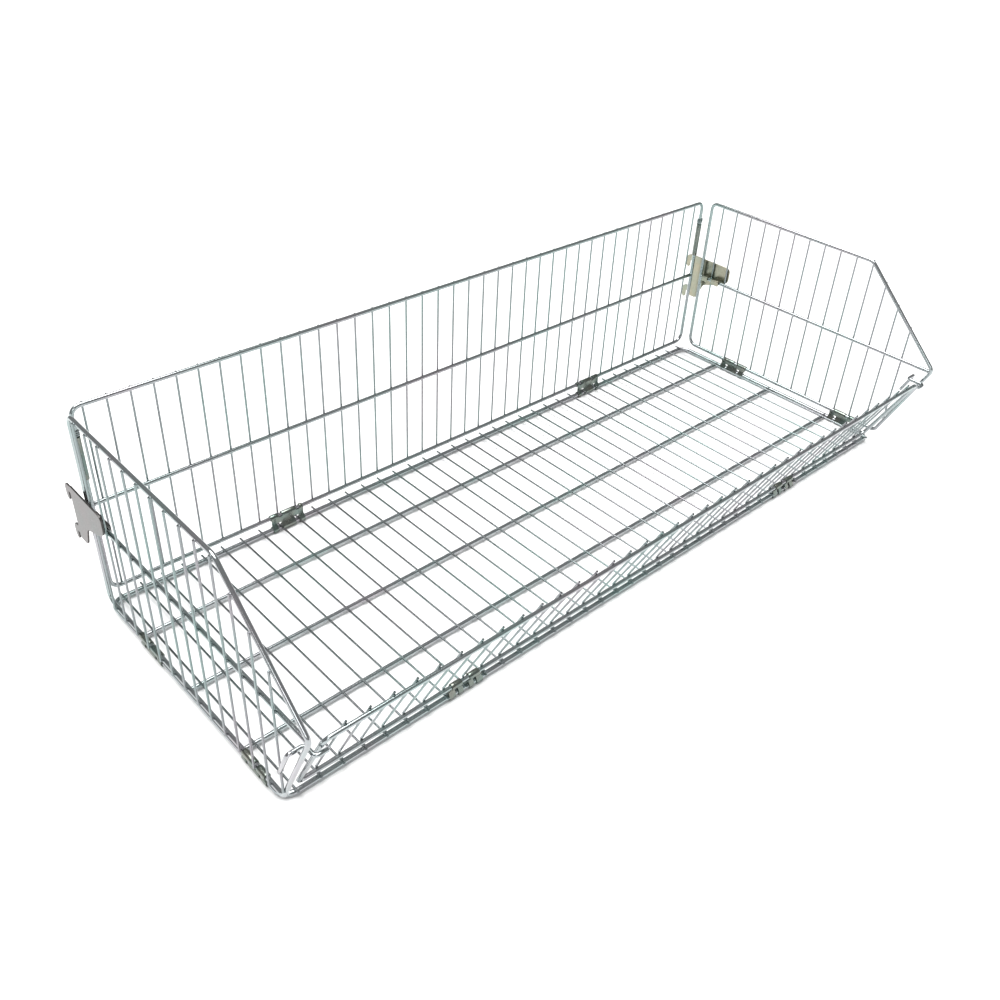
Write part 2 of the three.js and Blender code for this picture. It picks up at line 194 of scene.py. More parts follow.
def zinc_group():
    """Plated steel: cloudy passivation tints, spangle in the roughness and a fine drawn grain."""
    known = bpy.data.node_groups.get("Zinc plating")
    if known:
        return known
    group = node_group(
        "Zinc plating",
        [
            ("Plating", "NodeSocketColor", (0.5, 0.5, 0.5, 1)),
            ("Tint A", "NodeSocketColor", (0.4, 0.5, 0.5, 1)),
            ("Tint B", "NodeSocketColor", (0.5, 0.4, 0.45, 1)),
            ("Tint Amount", "NodeSocketFloat", 0.3),
            ("Cloud Scale", "NodeSocketFloat", 8.0),
            ("Grain Scale", "NodeSocketFloat", 900.0),
            ("Roughness", "NodeSocketFloat", 0.3),
            ("Roughness Spread", "NodeSocketFloat", 0.12),
            ("Bump", "NodeSocketFloat", 0.1),
        ],
        [("Color", "NodeSocketColor"), ("Roughness", "NodeSocketFloat"), ("Normal", "NodeSocketVector")],
    )
    nodes, link = group.nodes, group.links.new
    given = nodes["Group Input"].outputs
    out = nodes["Group Output"].inputs
    where = nodes.new("ShaderNodeTexCoord")

    cloud = nodes.new("ShaderNodeTexNoise")
    cloud.inputs["Detail"].default_value = 3.0
    cloud.inputs["Roughness"].default_value = 0.55
    link(where.outputs["Object"], cloud.inputs["Vector"])
    link(given["Cloud Scale"], cloud.inputs["Scale"])
    spread = nodes.new("ShaderNodeMapRange")
    spread.inputs["From Min"].default_value = 0.35
    spread.inputs["From Max"].default_value = 0.65
    link(cloud.outputs["Fac"], spread.inputs["Value"])
    tint = nodes.new("ShaderNodeMix")
    tint.data_type = "RGBA"
    link(spread.outputs["Result"], tint.inputs["Factor"])
    link(given["Tint A"], tint.inputs["A"])
    link(given["Tint B"], tint.inputs["B"])
    tinted = nodes.new("ShaderNodeMix")
    tinted.data_type = "RGBA"
    link(given["Tint Amount"], tinted.inputs["Factor"])
    link(given["Plating"], tinted.inputs["A"])
    link(tint.outputs["Result"], tinted.inputs["B"])

    grain = nodes.new("ShaderNodeTexNoise")
    grain.inputs["Detail"].default_value = 4.0
    link(where.outputs["Object"], grain.inputs["Vector"])
    link(given["Grain Scale"], grain.inputs["Scale"])
    dark = nodes.new("ShaderNodeMapRange")
    dark.inputs["From Min"].default_value = 0.3
    dark.inputs["From Max"].default_value = 0.7
    dark.inputs["To Min"].default_value = 0.86
    dark.inputs["To Max"].default_value = 1.08
    link(grain.outputs["Fac"], dark.inputs["Value"])
    shaded = nodes.new("ShaderNodeMix")
    shaded.data_type = "RGBA"
    shaded.blend_type = "MULTIPLY"
    shaded.inputs["Factor"].default_value = 1.0
    link(tinted.outputs["Result"], shaded.inputs["A"])
    link(dark.outputs["Result"], shaded.inputs["B"])
    link(shaded.outputs["Result"], out["Color"])

    centred = nodes.new("ShaderNodeMath")
    centred.operation = "SUBTRACT"
    centred.inputs[1].default_value = 0.5
    link(grain.outputs["Fac"], centred.inputs[0])
    rough = nodes.new("ShaderNodeMath")
    rough.operation = "MULTIPLY_ADD"
    link(centred.outputs["Value"], rough.inputs[0])
    link(given["Roughness Spread"], rough.inputs[1])
    link(given["Roughness"], rough.inputs[2])
    link(rough.outputs["Value"], out["Roughness"])

    bump = nodes.new("ShaderNodeBump")
    bump.inputs["Distance"].default_value = 0.0002
    link(given["Bump"], bump.inputs["Strength"])
    link(grain.outputs["Fac"], bump.inputs["Height"])
    link(bump.outputs["Normal"], out["Normal"])
    return group


def zinc(name, plating, tint_a, tint_b, amount, cloud, grain, roughness, spread, bump):
    known = bpy.data.materials.get(name)
    if known:
        return known
    material = bpy.data.materials.new(name)
    material.use_nodes = True
    nodes, link = material.node_tree.nodes, material.node_tree.links.new
    shader = nodes["Principled BSDF"]
    shader.inputs["Metallic"].default_value = 1.0
    plated = nodes.new("ShaderNodeGroup")
    plated.node_tree = zinc_group()
    plated.inputs["Plating"].default_value = (*plating, 1)
    plated.inputs["Tint A"].default_value = (*tint_a, 1)
    plated.inputs["Tint B"].default_value = (*tint_b, 1)
    plated.inputs["Tint Amount"].default_value = amount
    plated.inputs["Cloud Scale"].default_value = cloud
    plated.inputs["Grain Scale"].default_value = grain
    plated.inputs["Roughness"].default_value = roughness
    plated.inputs["Roughness Spread"].default_value = spread
    plated.inputs["Bump"].default_value = bump
    link(plated.outputs["Color"], shader.inputs["Base Color"])
    link(plated.outputs["Roughness"], shader.inputs["Roughness"])
    link(plated.outputs["Normal"], shader.inputs["Normal"])
    return material


def wire_zinc():
    green, rose = (0.27, 0.41, 0.39), (0.42, 0.35, 0.40)
    return zinc("Bright zinc wire", colours().wire, green, rose, 0.45, 9.0, 1400.0, 0.17, 0.14, 0.1)


def mesh_zinc():
    # Tints darker than the wire's tints: painted shade, like the mesh colour.
    green, rose = (0.19, 0.31, 0.29), (0.31, 0.25, 0.29)
    return zinc("Zinc mesh wire, painted shade", colours().mesh, green, rose, 0.45, 9.0, 1600.0, 0.2, 0.14, 0.1)


def clip_zinc():
    # Darkened tints: painted shade over the clips' passivation tints.
    green, straw = (0.13, 0.21, 0.19), (0.25, 0.23, 0.19)
    return zinc("Passivated clip sheet, painted shade", colours().clip, green, straw, 0.5, 45.0, 700.0, 0.24, 0.18, 0.15)


# Tint amount, cloud scale, grain scale, roughness, its spread and bump of both bracket finishes.
PLATE_FINISH = (0.5, 30.0, 600.0, 0.3, 0.2, 0.2)


def plate_zinc(tag):
    """The right bracket has a pale straw passivation; the left one, of the same sheet, is darkened to a
    smoky grey with painted shade.
    """
    if tag == "right":
        green, straw = (0.27, 0.33, 0.25), (0.42, 0.37, 0.25)
        finish = ("Passivated bracket sheet", colours().plate, green, straw)
        return zinc(*finish, *PLATE_FINISH)
    # Left bracket: colour and tints darkened as painted shade.
    green, brown_painted_shade = (0.09, 0.112, 0.105), (0.127, 0.1, 0.103)
    return zinc("Left bracket sheet, painted shade", colours().left_plate_painted_shade, green, brown_painted_shade, *PLATE_FINISH)


# ------------------------------------------------------------------ shaping helpers
def aim(direction):
    """Rotation that turns +Z to the direction."""
    return direction.to_track_quat("Z", "Y").to_matrix().to_4x4()


def finish_mesh(bm, name, body, material, replaces=(), mirrored=False, smooth=35.0):
    if mirrored:
        bmesh.ops.transform(bm, matrix=Matrix.Scale(-1, 4, (1, 0, 0)), verts=bm.verts)
    bmesh.ops.recalc_face_normals(bm, faces=bm.faces)
    mesh = bpy.data.meshes.new(name)
    bm.to_mesh(mesh)
    bm.free()
    if not mesh.polygons:
        raise RuntimeError(f"{name} came out empty")
    mesh.shade_smooth()
    mesh.set_sharp_from_angle(angle=radians(smooth))
    mesh.materials.append(material)
    piece = bpy.data.objects.new(name, mesh)
    bpy.context.scene.collection.objects.link(piece)
    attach(piece, body)
    if replaces:
        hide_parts(*replaces)
    return piece


def new_verts(made):
    return [g for g in made if isinstance(g, bmesh.types.BMVert)]


def new_edges(made):
    return [g for g in made if isinstance(g, bmesh.types.BMEdge)]


def move_ring(bm, ring, shift):
    made = bmesh.ops.extrude_edge_only(bm, edges=ring)["geom"]
    bmesh.ops.translate(bm, verts=new_verts(made), vec=shift)
    return [edge for edge in new_edges(made) if edge.is_boundary]


def turn_ring(bm, ring, centre, axis, angle, steps):
    last = bmesh.ops.spin(
        bm,
        geom=ring,
        cent=centre,
        axis=axis,
        angle=angle,
        steps=steps,
        use_merge=False,
        use_duplicate=False,
    )["geom_last"]
    return new_edges(last)


def bend_at(before, corner, after, radius):
    """Centre, axis, angle, start and end of the bend of a wire at a corner."""
    back = (before - corner).normalized()
    on = (after - corner).normalized()
    half = back.angle(on) / 2
    centre = corner + (back + on).normalized() * (radius / sin(half))
    start = corner + back * (radius / (sin(half) / cos(half)))
    end = corner + on * (radius / (sin(half) / cos(half)))
    axis = (start - centre).cross(end - centre).normalized()
    return centre, axis, (start - centre).angle(end - centre), start, end


def bent_wire(bm, corners, bends, radius, sides, steps=8, closed=False):
    """Draws a round wire through the corners, bent at each of them."""
    count = len(corners)
    if closed:
        first = (corners[0] + corners[1]) / 2
        turns = [i % count for i in range(1, count + 1)]
        stops = [(corners[i], bends[i], corners[i - 1], corners[(i + 1) % count]) for i in turns]
        last = first
    else:
        first = corners[0]
        stops = [(corners[i], bends[i - 1], corners[i - 1], corners[i + 1]) for i in range(1, count - 1)]
        last = corners[-1]
    heading = (corners[1] - corners[0]).normalized()
    made = bmesh.ops.create_circle(
        bm, cap_ends=False, segments=sides, radius=radius, matrix=Matrix.Translation(first) @ aim(heading)
    )
    ring = list({edge for vert in made["verts"] for edge in vert.link_edges})
    tips = [ring]
    at = first
    for corner, bend, before, after in stops:
        centre, axis, angle, start, end = bend_at(before, corner, after, bend)
        ring = move_ring(bm, ring, start - at)
        ring = turn_ring(bm, ring, centre, axis, angle, steps)
        at = end
    ring = move_ring(bm, ring, last - at)
    if closed:
        bmesh.ops.remove_doubles(bm, verts=bm.verts, dist=2e-6)
        return
    tips.append(ring)
    for tip in tips:
        cap = bmesh.ops.contextual_create(bm, geom=tip)["faces"]
        rim = list({edge for face in cap for edge in face.edges})
        bmesh.ops.bevel(
            bm,
            geom=rim,
            offset=radius * 0.4,
            offset_type="OFFSET",
            affect="EDGES",
            segments=2,
            profile=0.5,
            material=-1,
        )


def rods(bm, ends, radius, sides=12, chamfer=0.3):
    """Straight cut wires between pairs of points, with the cut slightly rounded."""
    rims = []
    for a, b in ends:
        along = b - a
        made = bmesh.ops.create_cone(
            bm,
            cap_ends=True,
            cap_tris=False,
            segments=sides,
            radius1=radius,
            radius2=radius,
            depth=along.length,
            matrix=Matrix.Translation((a + b) / 2) @ aim(along),
        )
        for face in {face for vert in made["verts"] for face in vert.link_faces}:
            if len(face.verts) == sides:
                rims.extend(face.edges)
    bmesh.ops.bevel(
        bm,
        geom=rims,
        offset=radius * chamfer,
        offset_type="OFFSET",
        affect="EDGES",
        segments=1,
        profile=0.5,
        material=-1,
    )


def welds(bm, places, along, across, up, size):
    """Small flattened lumps of a spot weld. Size is half length, half width and half height."""
    shape = Matrix((along, across, up)).transposed().to_4x4() @ Matrix.Diagonal((*size, 1))
    for place in places:
        bmesh.ops.create_icosphere(bm, subdivisions=2, radius=1.0, matrix=Matrix.Translation(place) @ shape)


def spot_size():
    """Half sizes of the weld where a thin wire crosses a thick one."""
    r = sizes().mesh_radius
    return (r * 1.55, r * 1.15, r * 0.7)


def sit():
    """Distance from a weld to the thin wire's centre, a little less than its radius."""
    return sizes().mesh_radius * 0.9


X, Y, Z = Vector((1, 0, 0)), Vector((0, 1, 0)), Vector((0, 0, 1))


# ------------------------------------------------------------------ shared places
def places():
    """Centre lines of the main wires, taken from the frame."""
    s = sizes()
    centre_y = (BORDER_LOW.y + BORDER_HIGH.y) / 2
    r, b = s.panel_radius * FLAT, s.border_radius * FLAT
    lip = Vector(JOINTS["lip_fold"]["pos_m"])
    return {
        "base_x": BORDER_HIGH.x - b,
        "base_y": (BORDER_HIGH.y - BORDER_LOW.y) / 2 - b,
        "base_z": (BORDER_LOW.z + BORDER_HIGH.z) / 2,
        "mid_y": centre_y,
        "side_x": Vector(JOINTS["side_right_fold"]["pos_m"]).x,
        "side_z": Vector(JOINTS["side_right_fold"]["pos_m"]).z,
        "side_top": SIDE_HIGH.z - r,
        "side_rear": SIDE_HIGH.y - r,
        "back_x": BACK_HIGH.x - r,
        "back_y": Vector(JOINTS["back_fold"]["pos_m"]).y,
        "back_z": Vector(JOINTS["back_fold"]["pos_m"]).z,
        "back_top": BACK_HIGH.z - r,
        "lip_x": LIP_HIGH.x - r,
        "lip_y": lip.y,
        "lip_z": lip.z,
    }


# Side panel: heights over the middle of the base wires, distances from the base's front wire.
MID_HEIGHT = 0.1267
FRONT_REACH = 0.0589
FRONT_HEIGHT = 0.1295
BEND_BACK = 0.062
TOE_BACK = 0.006
LIP_LENGTH = 0.1136
LIP_LEAN = radians(27)

# Outer rails of the base, and the rearmost thin wire of a side panel, from the basket's middle.
RAIL_ROW = 0.099
SIDE_FIRST = 0.1425
SIDE_WIRES = 14

# How far the thin wires run past the thick ones at their ends.
FOOT_TIP = 0.0005
HEAD_TIP = 0.0012
LIP_TIP = 0.0025
BASE_TIP = 0.003

BRACKET_SHEET = 0.002
TOOTH_DEPTH = 0.012
STOP_INSIDE = 0.481
STOP_BEND = 0.004

# The lip wire that passes through a clip, counted from the middle, and the hook of the others.
LIP_CLIP_WIRE = 11
HOOK_TURN = radians(150)

# Height of a stop's foot over the base wire, and its distance behind the side's front edge.
LIP_STOPS = {"right": (0.082, 0.016), "left": (0.062, 0.010)}


# ------------------------------------------------------------------ base tray
class BASKET_OT_base_tray(bpy.types.Operator):
    """Build the base tray: border wire, three rails and the mesh wires across them"""

    bl_idname = "basket.base_tray"
    bl_label = "Base tray"

    def execute(self, context):
        s, p = sizes(), places()
        x, y, z, mid = p["base_x"], p["base_y"], p["base_z"], p["mid_y"]
        bm = bmesh.new()
        around = ((-x, -y), (x, -y), (x, y), (-x, y))
        corners = [Vector((a, mid + b, z)) for a, b in around]
        bent_wire(bm, corners, [0.014] * 4, s.border_radius, 20, closed=True)
        finish_mesh(bm, "base_border_wire", "base", wire_zinc(), ["base_frame"])

        bm = bmesh.new()
        end = x - s.border_radius * 0.35
        lift = 0.0005
        rows = [Vector((0, mid + row, z + lift)) for row in (-RAIL_ROW, 0.0, RAIL_ROW)]
        rods(bm, [(row - X * end, row + X * end) for row in rows], s.panel_radius, 18, 0.2)
        butt = x - s.border_radius - 0.0004
        butts = [row + X * side * butt for side in (-1, 1) for row in rows]
        welds(bm, butts, X, Y, Z, (0.0016, 0.0031, 0.0026))
        rails = ["base_rail_rear", "base_rail_front"]
        finish_mesh(bm, "base_rails", "base", wire_zinc(), rails)

        bm = bmesh.new()
        level = z + s.border_radius + s.mesh_radius * 0.8
        tip = y + s.border_radius + BASE_TIP
        wires = [Vector((i * PITCH, mid, level)) for i in range(-19, 20)]
        rods(bm, [(wire - Y * tip, wire + Y * tip) for wire in wires], s.mesh_radius)
        rows = (-y, -RAIL_ROW, 0, RAIL_ROW, y)
        spots = [wire + Y * row - Z * sit() for wire in wires for row in rows]
        welds(bm, spots, X, Y, Z, spot_size())
        finish_mesh(bm, "base_mesh_wires", "base", mesh_zinc(), ["base_mesh"])
        return {"FINISHED"}


# ------------------------------------------------------------------ back panel
class BASKET_OT_back_panel(bpy.types.Operator):
    """Build the back panel: border wire, mid rail and upright mesh wires"""

    bl_idname = "basket.back_panel"
    bl_label = "Back panel"

    def execute(self, context):
        s, p = sizes(), places()
        x, y, low, top = p["back_x"], p["back_y"], p["back_z"], p["back_top"]
        mid = p["base_z"] + MID_HEIGHT
        bm = bmesh.new()
        corners = [Vector((-x, y, low)), Vector((x, y, low)), Vector((x, y, top)), Vector((-x, y, top))]
        bent_wire(bm, corners, [0.012, 0.012, 0.010, 0.010], s.panel_radius, 18, closed=True)
        rail = [(Vector((-x + s.panel_radius * 0.4, y, mid)), Vector((x - s.panel_radius * 0.4, y, mid)))]
        rods(bm, rail, s.panel_radius, 18, 0.2)
        butts = [Vector((side * (x - s.panel_radius), y, mid)) for side in (-1, 1)]
        welds(bm, butts, X, Y, Z, (0.0012, 0.0026, 0.0028))
        finish_mesh(bm, "back_border_wire", "back", wire_zinc(), ["back_frame"])

        bm = bmesh.new()
        out = y + s.panel_radius + s.mesh_radius * 0.8
        wires = [i * BACK_PITCH for i in range(-19, 20)]
        foot, head = low - FOOT_TIP, top + HEAD_TIP
        rods(bm, [(Vector((w, out, foot)), Vector((w, out, head))) for w in wires], s.mesh_radius)
        levels = (low, mid, top)
        spots = [Vector((w, out - sit(), level)) for w in wires for level in levels]
        welds(bm, spots, X, Z, -Y, spot_size())
        finish_mesh(bm, "back_mesh_wires", "back", mesh_zinc(), ["back_mesh"])
        return {"FINISHED"}


# ------------------------------------------------------------------ side panels
class BASKET_OT_side_panels(bpy.types.Operator):
    """Build both side panels, with the cut-away front corner"""

    bl_idname = "basket.side_panels"
    bl_label = "Side panels"

    def execute(self, context):
        s, p = sizes(), places()
        x, low, top, rear = p["side_x"], p["side_z"], p["side_top"], p["side_rear"]
        mid = p["base_z"] + MID_HEIGHT
        front_edge = p["mid_y"] - p["base_y"]
        toe = front_edge - TOE_BACK
        bend = front_edge + BEND_BACK
        nose = front_edge - FRONT_REACH - 0.0001
        nose_z = p["base_z"] + FRONT_HEIGHT
        fall = (top - nose_z) / (bend - nose)
        rise = (nose_z - low) / (toe - nose)
        for tag, mirrored in (("right", False), ("left", True)):
            bm = bmesh.new()
            corners = [
                Vector((x, toe, low)),
                Vector((x, rear, low)),
                Vector((x, rear, top)),
                Vector((x, bend, top)),
                Vector((x, nose, nose_z)),
            ]
            bent_wire(bm, corners, [0.008, 0.012, 0.009, 0.016, 0.008], s.panel_radius, 18, closed=True)
            rail = (Vector((x, rear - s.panel_radius * 0.4, mid)), Vector((x, nose + 0.0033, mid)))
            rods(bm, [rail], s.panel_radius, 18, 0.2)
            welds(bm, [Vector((x, rear - s.panel_radius, mid))], Y, X, Z, (0.0012, 0.0026, 0.0028))
            name, body, node = f"side_border_wire_{tag}", f"side_{tag}", f"side_frame_{tag}"
            finish_mesh(bm, name, body, wire_zinc(), [node], mirrored)
            bm = bmesh.new()
            out = x + s.panel_radius + s.mesh_radius * 0.8
            ends, spots = [], []
            for i in range(SIDE_WIRES):
                y = p["mid_y"] + SIDE_FIRST - i * PITCH
                foot = low if y >= toe else low + (toe - y) * rise
                head = top if y >= bend else top - (bend - y) * fall
                ends.append((Vector((out, y, foot - FOOT_TIP)), Vector((out, y, head + HEAD_TIP))))
                spots += [Vector((out - sit(), y, level)) for level in (foot, mid, head)]
            rods(bm, ends, s.mesh_radius)
            welds(bm, spots, Y, Z, X, spot_size())
            name, node = f"side_mesh_wires_{tag}", f"side_mesh_{tag}"
            finish_mesh(bm, name, body, mesh_zinc(), [node], mirrored)
        return {"FINISHED"}


# ------------------------------------------------------------------ front lip
class BASKET_OT_front_lip(bpy.types.Operator):
    """Build the low leaning lip: border wire and mesh wires hooked round its hinge wire"""

    bl_idname = "basket.front_lip"
    bl_label = "Front lip"

    def execute(self, context):
        s, p = sizes(), places()
        x = p["lip_x"]
        lean = Matrix.Translation((0, p["lip_y"], p["lip_z"])) @ Matrix.Rotation(LIP_LEAN, 4, "X")
        bm = bmesh.new()
        around = ((-x, 0), (x, 0), (x, LIP_LENGTH), (-x, LIP_LENGTH))
        corners = [Vector((a, 0, b)) for a, b in around]
        bent_wire(bm, corners, [0.009] * 4, s.panel_radius, 18, closed=True)
        bmesh.ops.transform(bm, matrix=lean, verts=bm.verts)
        finish_mesh(bm, "lip_border_wire", "lip", wire_zinc(), ["lip_panel"])

        bm = bmesh.new()
        inner = s.panel_radius + s.mesh_radius * 0.8
        head = LIP_LENGTH + s.panel_radius + LIP_TIP
        for i in range(-18, 19):
            in_clip = abs(i) == LIP_CLIP_WIRE
            self.hooked_wire(bm, Vector((i * PITCH, inner, head)), s.mesh_radius, not in_clip)
        spots = [Vector((i * PITCH, inner - sit(), LIP_LENGTH)) for i in range(-18, 19)]
        welds(bm, spots, X, Z, Y, spot_size())
        bmesh.ops.transform(bm, matrix=lean, verts=bm.verts)
        finish_mesh(bm, "lip_mesh_wires", "lip", mesh_zinc())
        return {"FINISHED"}

    def hooked_wire(self, bm, head, radius, hook):
        """Thin wire from the head down to the hinge wire, and round under it unless a clip is there."""
        made = bmesh.ops.create_circle(
            bm, cap_ends=False, segments=10, radius=radius, matrix=Matrix.Translation(head) @ aim(-Z)
        )
        start = list({edge for vert in made["verts"] for edge in vert.link_edges})
        ring = move_ring(bm, start, Vector((0, 0, -head.z)))
        end = turn_ring(bm, ring, Vector((head.x, 0, 0)), X, -HOOK_TURN, 8) if hook else ring
        for tip in (start, end):
            bmesh.ops.contextual_create(bm, geom=tip)


# ------------------------------------------------------------------ sheet clips
def tangent_from(point, centre, radius, side):
    """Where a strip that leaves the point touches a circle, on the given side."""
    away = point - centre
    lean = acos(radius / away.length)
    choices = [Matrix.Rotation(turn, 2) @ away.normalized() for turn in (lean, -lean)]
    return centre + max(choices, key=lambda way: way.dot(side)) * radius


def edges_between(edges, start, end):
    """Edges of a chain whose ends both lie between start and end along the clip."""
    keep = []
    for edge in edges:
        a, b = sorted(vert.co.z for vert in edge.verts)
        if a >= start - 1e-6 and b <= end + 1e-6:
            keep.append(edge)
    return keep


def chain(bm, at, stops):
    """A row of edges along the clip at one place in its section."""
    made = bmesh.ops.create_vert(bm, co=(at.x, at.y, stops[0]))["vert"]
    edges = []
    for a, b in zip(stops, stops[1:]):
        new = bmesh.ops.extrude_vert_indiv(bm, verts=made)
        made = new["verts"]
        bmesh.ops.translate(bm, verts=made, vec=(0, 0, b - a))
        edges += new["edges"]
    return edges


def pull(bm, edges, shift):
    made = bmesh.ops.extrude_edge_only(bm, edges=edges)["geom"]
    verts = new_verts(made)
    bmesh.ops.translate(bm, verts=verts, vec=(shift.x, shift.y, 0))
    rows = new_edges(made)
    return [e for e in rows if abs(e.verts[0].co.z - e.verts[1].co.z) > 1e-6]


def curl(bm, edges, centre, angle, steps):
    bmesh.ops.spin(
        bm,
        geom=edges,
        cent=(centre.x, centre.y, 0),
        axis=(0, 0, 1),
        angle=angle,
        steps=steps,
        use_merge=False,
        use_duplicate=False,
    )


def curled_clip(name, upper, base_tabs, panel_tabs, place, mirrored, node):
    """Sheet strip with tabs curled round the base wire and round a panel wire."""
    s = sizes()
    half = s.clip_sheet / 2
    r_low = s.border_radius + 0.0003 + half
    r_up = s.panel_radius + 0.0003 + half
    low_side = Vector((-1, 0))
    over = s.border_radius + 2 * s.mesh_radius + 0.0010
    waist = Vector((upper.x * over / upper.y - 0.0011, over))
    foot = tangent_from(waist, Vector((0, 0)), r_low, low_side)
    head = tangent_from(waist, upper, r_up, low_side)
    stops = sorted({value / 1000 for tab in base_tabs + panel_tabs for value in tab})
    bm = bmesh.new()
    low = chain(bm, waist, stops)
    high = pull(bm, low, head - waist)
    for a, b in panel_tabs:
        curl(bm, edges_between(high, a / 1000, b / 1000), upper, radians(-292), 14)
    for a, b in base_tabs:
        bottom = pull(bm, edges_between(low, a / 1000, b / 1000), foot - waist)
        curl(bm, bottom, Vector((0, 0)), radians(285), 14)
    bmesh.ops.remove_doubles(bm, verts=bm.verts, dist=1e-6)
    bmesh.ops.transform(bm, matrix=place, verts=bm.verts)
    piece = finish_mesh(bm, name, "base", clip_zinc(), [node], mirrored, smooth=60.0)
    sheet_finish(piece, s.clip_sheet, 0.0002)
    return piece


def sheet_finish(piece, thickness, edge):
    skin = piece.modifiers.new("Sheet", "SOLIDIFY")
    skin.thickness = thickness
    skin.offset = 0.0
    skin.use_even_offset = True
    round_off = piece.modifiers.new("Sheared edge", "BEVEL")
    round_off.width = edge
    round_off.segments = 2
    round_off.limit_method = "ANGLE"
    round_off.angle_limit = radians(50)


def section_to_world(p_axis, q_axis, t_axis, origin):
    turn = Matrix((p_axis, q_axis, t_axis)).transposed().to_4x4()
    return Matrix.Translation(origin) @ turn


class BASKET_OT_hinge_clips(bpy.types.Operator):
    """Build the curled sheet clips that hinge the four panels to the base tray"""

    bl_idname = "basket.hinge_clips"
    bl_label = "Hinge clips"

    def execute(self, context):
        p = places()
        front = p["mid_y"] - p["base_y"]
        rear = p["mid_y"] + p["base_y"]
        z = p["base_z"]
        back_wire = Vector((p["back_y"] - rear, p["back_z"] - z))
        lip_wire = Vector((p["lip_y"] - front, p["lip_z"] - z))
        side_wire = Vector((p["side_x"] - p["base_x"], p["side_z"] - z))
        for tag, mirrored in (("right", False), ("left", True)):
            curled_clip(
                f"back_hinge_clip_{tag}",
                back_wire,
                [(-22, -15), (-9, 9), (15, 22)],
                [(-22, -18.5), (-12.5, 6.5), (12, 22)],
                section_to_world(Y, Z, X, Vector((0.2625, rear, z))),
                mirrored,
                f"hinge_clip_back_{tag}",
            )
            curled_clip(
                f"lip_hinge_clip_{tag}",
                lip_wire,
                [(-22, -14), (-10, -4), (4, 10), (14, 22)],
                [(-18, -5), (5, 18)],
                section_to_world(Y, Z, X, Vector((LIP_CLIP_WIRE * PITCH, front, z))),
                mirrored,
                f"hinge_clip_lip_{tag}",
            )
            for where, along, panel in (
                ("rear", 0.071, [(-23, -6.5), (-0.5, 18.5)]),
                ("front", -0.126, [(-23, -9.5), (-3.5, 15.5)]),
            ):
                curled_clip(
                    f"side_hinge_clip_{tag}_{where}",
                    side_wire,
                    [(-21, -13), (-9, 9), (13, 21)],
                    panel,
                    section_to_world(X, Z, Y, Vector((p["base_x"], p["mid_y"] + along, z))),
                    mirrored,
                    f"hinge_clip_{tag}_{where}",
                )
        return {"FINISHED"}


class BASKET_OT_corner_catches(bpy.types.Operator):
    """Build the rolled sleeves on the end uprights of the back panel, each under a short wire coil"""

    bl_idname = "basket.corner_catches"
    bl_label = "Corner catches"

    def execute(self, context):
        s, p = sizes(), places()
        half = s.clip_sheet / 2
        radius = s.panel_radius + 0.0003 + half
        low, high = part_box("corner_catch_right")
        top = high.z - 0.0085
        centre = Vector((p["back_x"], p["back_y"]))
        for tag, mirrored in (("right", False), ("left", True)):
            bm = bmesh.new()
            seam = Matrix.Rotation(radians(-30), 2) @ Vector((radius, 0))
            row = chain(bm, centre + seam, [low.z, (low.z + top) / 2, top])
            curl(bm, row, centre, radians(-322), 18)
            name, node = f"corner_sleeve_{tag}", f"corner_catch_{tag}"
            sleeve = finish_mesh(bm, name, "back", clip_zinc(), [node], mirrored, 60.0)
            sheet_finish(sleeve, s.clip_sheet, 0.0002)
            bm = bmesh.new()
            self.coil(bm, Vector((*centre, top + 0.0011)), radius + 0.0002, 0.0008)
            finish_mesh(bm, f"corner_coil_{tag}", "back", wire_zinc(), [], mirrored)
        return {"FINISHED"}

    def coil(self, bm, foot, reach, wire):
        """Three close turns of thin wire round the upright."""
        start = foot + Vector((reach, 0, 0))
        made = bmesh.ops.create_circle(
            bm, cap_ends=False, segments=10, radius=wire, matrix=Matrix.Translation(start) @ aim(Y)
        )
        first = list({edge for vert in made["verts"] for edge in vert.link_edges})
        turns, steps = 3, 16
        climb = (0, 0, 0.0021 / steps)
        last = bmesh.ops.spin(
            bm,
            geom=first,
            cent=foot,
            axis=Z,
            dvec=climb,
            angle=2 * pi * turns,
            steps=steps * turns,
            use_merge=False,
            use_duplicate=False,
        )["geom_last"]
        for tip in (first, new_edges(last)):
            bmesh.ops.contextual_create(bm, geom=tip)


